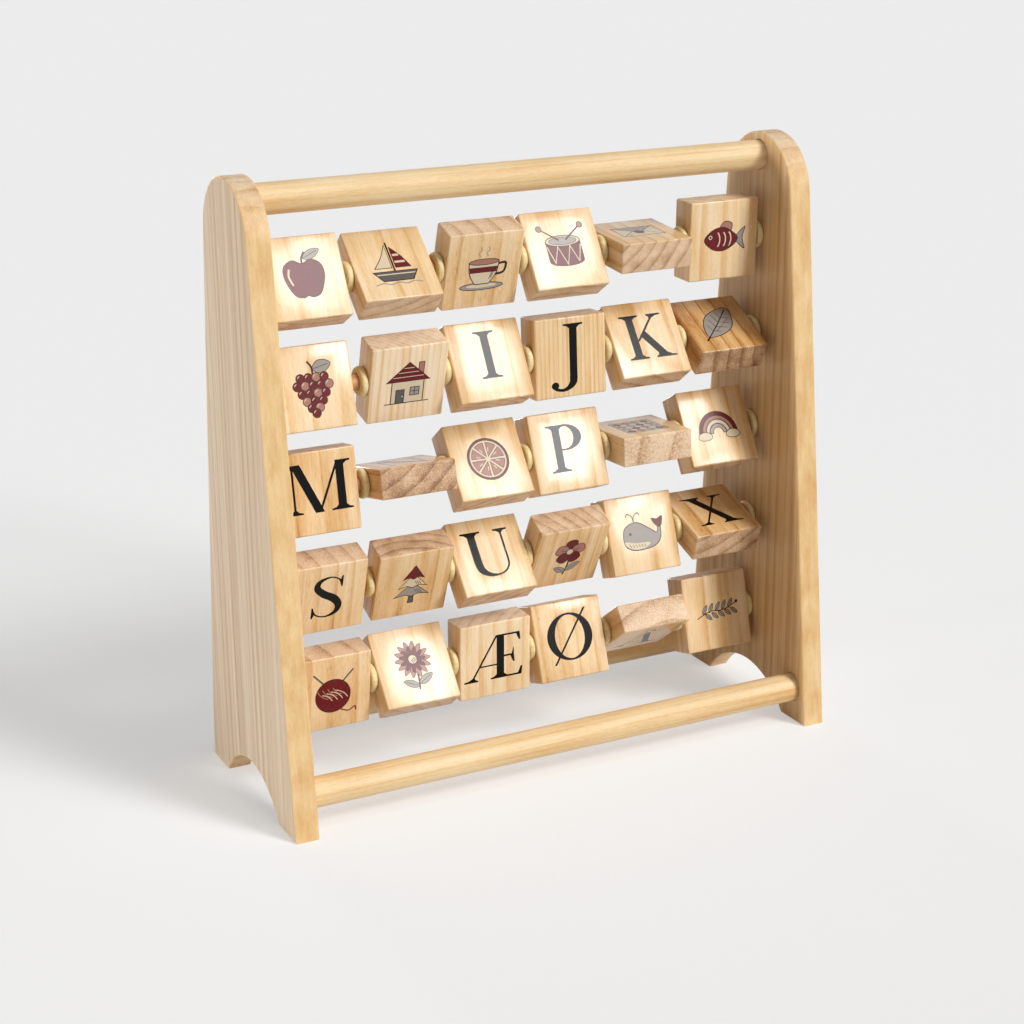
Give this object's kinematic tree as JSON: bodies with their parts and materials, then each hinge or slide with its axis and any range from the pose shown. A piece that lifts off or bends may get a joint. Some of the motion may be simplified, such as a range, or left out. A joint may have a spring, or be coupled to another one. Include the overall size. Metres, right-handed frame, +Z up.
{
  "type": "alphabet block frame",
  "caption": "Free-standing wooden toy frame: square alphabet blocks spin on horizontal rods, kept apart by spacer beads, between two tapered side panels tied by round rails.",
  "frame": {"origin": "on the floor, midway between the side panels and midway from front to back", "axes": "+X along the rods to the right as seen from the front, -Y to the front, +Z up"},
  "size_m": [0.3, 0.117, 0.307],
  "materials": {
    "panel_pine": "clear satin lacquer on sawn and sanded pine board",
    "rail_pine": "clear satin lacquer on turned pine dowel",
    "bead_beech": "clear satin lacquer on turned pale wood",
    "block_pine": "clear satin lacquer over printed pine"
  },
  "bodies": {
    "frame": {"side_panel_left": "panel_pine", "side_panel_right": "panel_pine", "top_rail": "rail_pine", "front_foot_rail": "rail_pine", "back_foot_rail": "rail_pine", "bead_rod_row_1": "bead_beech", "bead_rod_row_2": "bead_beech", "bead_rod_row_3": "bead_beech", "bead_rod_row_4": "bead_beech", "bead_rod_row_5": "bead_beech"},
    "block_A": {"block_A": "block_pine"},
    "block_B": {"block_B": "block_pine"},
    "block_C": {"block_C": "block_pine"},
    "block_D": {"block_D": "block_pine"},
    "block_E": {"block_E": "block_pine"},
    "block_F": {"block_F": "block_pine"},
    "block_G": {"block_G": "block_pine"},
    "block_H": {"block_H": "block_pine"},
    "block_I": {"block_I": "block_pine"},
    "block_J": {"block_J": "block_pine"},
    "block_K": {"block_K": "block_pine"},
    "block_L": {"block_L": "block_pine"},
    "block_M": {"block_M": "block_pine"},
    "block_N": {"block_N": "block_pine"},
    "block_O": {"block_O": "block_pine"},
    "block_P": {"block_P": "block_pine"},
    "block_Q": {"block_Q": "block_pine"},
    "block_R": {"block_R": "block_pine"},
    "block_S": {"block_S": "block_pine"},
    "block_T": {"block_T": "block_pine"},
    "block_U": {"block_U": "block_pine"},
    "block_V": {"block_V": "block_pine"},
    "block_W": {"block_W": "block_pine"},
    "block_X": {"block_X": "block_pine"},
    "block_Y": {"block_Y": "block_pine"},
    "block_Z": {"block_Z": "block_pine"},
    "block_AE": {"block_AE": "block_pine"},
    "block_OE": {"block_OE": "block_pine"},
    "block_AA": {"block_AA": "block_pine"},
    "block_plain": {"block_plain": "block_pine"}
  },
  "joints": [
    {"name": "spin_A", "type": "hinge", "parent": "frame", "child": "block_A", "pos_m": [-0.1142, 0, 0.255], "axis": [1, 0, 0], "continuous": true},
    {"name": "spin_B", "type": "hinge", "parent": "frame", "child": "block_B", "pos_m": [-0.06946, 0, 0.255], "axis": [1, 0, 0], "continuous": true},
    {"name": "spin_C", "type": "hinge", "parent": "frame", "child": "block_C", "pos_m": [-0.02284, 0, 0.255], "axis": [1, 0, 0], "continuous": true},
    {"name": "spin_D", "type": "hinge", "parent": "frame", "child": "block_D", "pos_m": [0.0219, 0, 0.255], "axis": [1, 0, 0], "continuous": true},
    {"name": "spin_E", "type": "hinge", "parent": "frame", "child": "block_E", "pos_m": [0.06664, 0, 0.255], "axis": [1, 0, 0], "continuous": true},
    {"name": "spin_F", "type": "hinge", "parent": "frame", "child": "block_F", "pos_m": [0.11326, 0, 0.255], "axis": [1, 0, 0], "continuous": true},
    {"name": "spin_G", "type": "hinge", "parent": "frame", "child": "block_G", "pos_m": [-0.11232, 0, 0.204], "axis": [1, 0, 0], "continuous": true},
    {"name": "spin_H", "type": "hinge", "parent": "frame", "child": "block_H", "pos_m": [-0.06382, 0, 0.204], "axis": [1, 0, 0], "continuous": true},
    {"name": "spin_I", "type": "hinge", "parent": "frame", "child": "block_I", "pos_m": [-0.02002, 0, 0.204], "axis": [1, 0, 0], "continuous": true},
    {"name": "spin_J", "type": "hinge", "parent": "frame", "child": "block_J", "pos_m": [0.02472, 0, 0.204], "axis": [1, 0, 0], "continuous": true},
    {"name": "spin_K", "type": "hinge", "parent": "frame", "child": "block_K", "pos_m": [0.06946, 0, 0.204], "axis": [1, 0, 0], "continuous": true},
    {"name": "spin_L", "type": "hinge", "parent": "frame", "child": "block_L", "pos_m": [0.11326, 0, 0.204], "axis": [1, 0, 0], "continuous": true},
    {"name": "spin_M", "type": "hinge", "parent": "frame", "child": "block_M", "pos_m": [-0.11138, 0, 0.153], "axis": [1, 0, 0], "continuous": true},
    {"name": "spin_N", "type": "hinge", "parent": "frame", "child": "block_N", "pos_m": [-0.06476, 0, 0.153], "axis": [1, 0, 0], "continuous": true},
    {"name": "spin_O", "type": "hinge", "parent": "frame", "child": "block_O", "pos_m": [-0.02096, 0, 0.153], "axis": [1, 0, 0], "continuous": true},
    {"name": "spin_P", "type": "hinge", "parent": "frame", "child": "block_P", "pos_m": [0.02378, 0, 0.153], "axis": [1, 0, 0], "continuous": true},
    {"name": "spin_Q", "type": "hinge", "parent": "frame", "child": "block_Q", "pos_m": [0.06852, 0, 0.153], "axis": [1, 0, 0], "continuous": true},
    {"name": "spin_R", "type": "hinge", "parent": "frame", "child": "block_R", "pos_m": [0.11232, 0, 0.153], "axis": [1, 0, 0], "continuous": true},
    {"name": "spin_S", "type": "hinge", "parent": "frame", "child": "block_S", "pos_m": [-0.1095, 0, 0.102], "axis": [1, 0, 0], "continuous": true},
    {"name": "spin_T", "type": "hinge", "parent": "frame", "child": "block_T", "pos_m": [-0.06382, 0, 0.102], "axis": [1, 0, 0], "continuous": true},
    {"name": "spin_U", "type": "hinge", "parent": "frame", "child": "block_U", "pos_m": [-0.02002, 0, 0.102], "axis": [1, 0, 0], "continuous": true},
    {"name": "spin_V", "type": "hinge", "parent": "frame", "child": "block_V", "pos_m": [0.02378, 0, 0.102], "axis": [1, 0, 0], "continuous": true},
    {"name": "spin_W", "type": "hinge", "parent": "frame", "child": "block_W", "pos_m": [0.06758, 0, 0.102], "axis": [1, 0, 0], "continuous": true},
    {"name": "spin_X", "type": "hinge", "parent": "frame", "child": "block_X", "pos_m": [0.11232, 0, 0.102], "axis": [1, 0, 0], "continuous": true},
    {"name": "spin_Y", "type": "hinge", "parent": "frame", "child": "block_Y", "pos_m": [-0.10856, 0, 0.051], "axis": [1, 0, 0], "continuous": true},
    {"name": "spin_Z", "type": "hinge", "parent": "frame", "child": "block_Z", "pos_m": [-0.06382, 0, 0.051], "axis": [1, 0, 0], "continuous": true},
    {"name": "spin_AE", "type": "hinge", "parent": "frame", "child": "block_AE", "pos_m": [-0.01908, 0, 0.051], "axis": [1, 0, 0], "continuous": true},
    {"name": "spin_OE", "type": "hinge", "parent": "frame", "child": "block_OE", "pos_m": [0.02472, 0, 0.051], "axis": [1, 0, 0], "continuous": true},
    {"name": "spin_AA", "type": "hinge", "parent": "frame", "child": "block_AA", "pos_m": [0.06946, 0, 0.051], "axis": [1, 0, 0], "continuous": true},
    {"name": "spin_plain", "type": "hinge", "parent": "frame", "child": "block_plain", "pos_m": [0.1142, 0, 0.051], "axis": [1, 0, 0], "continuous": true}
  ]
}
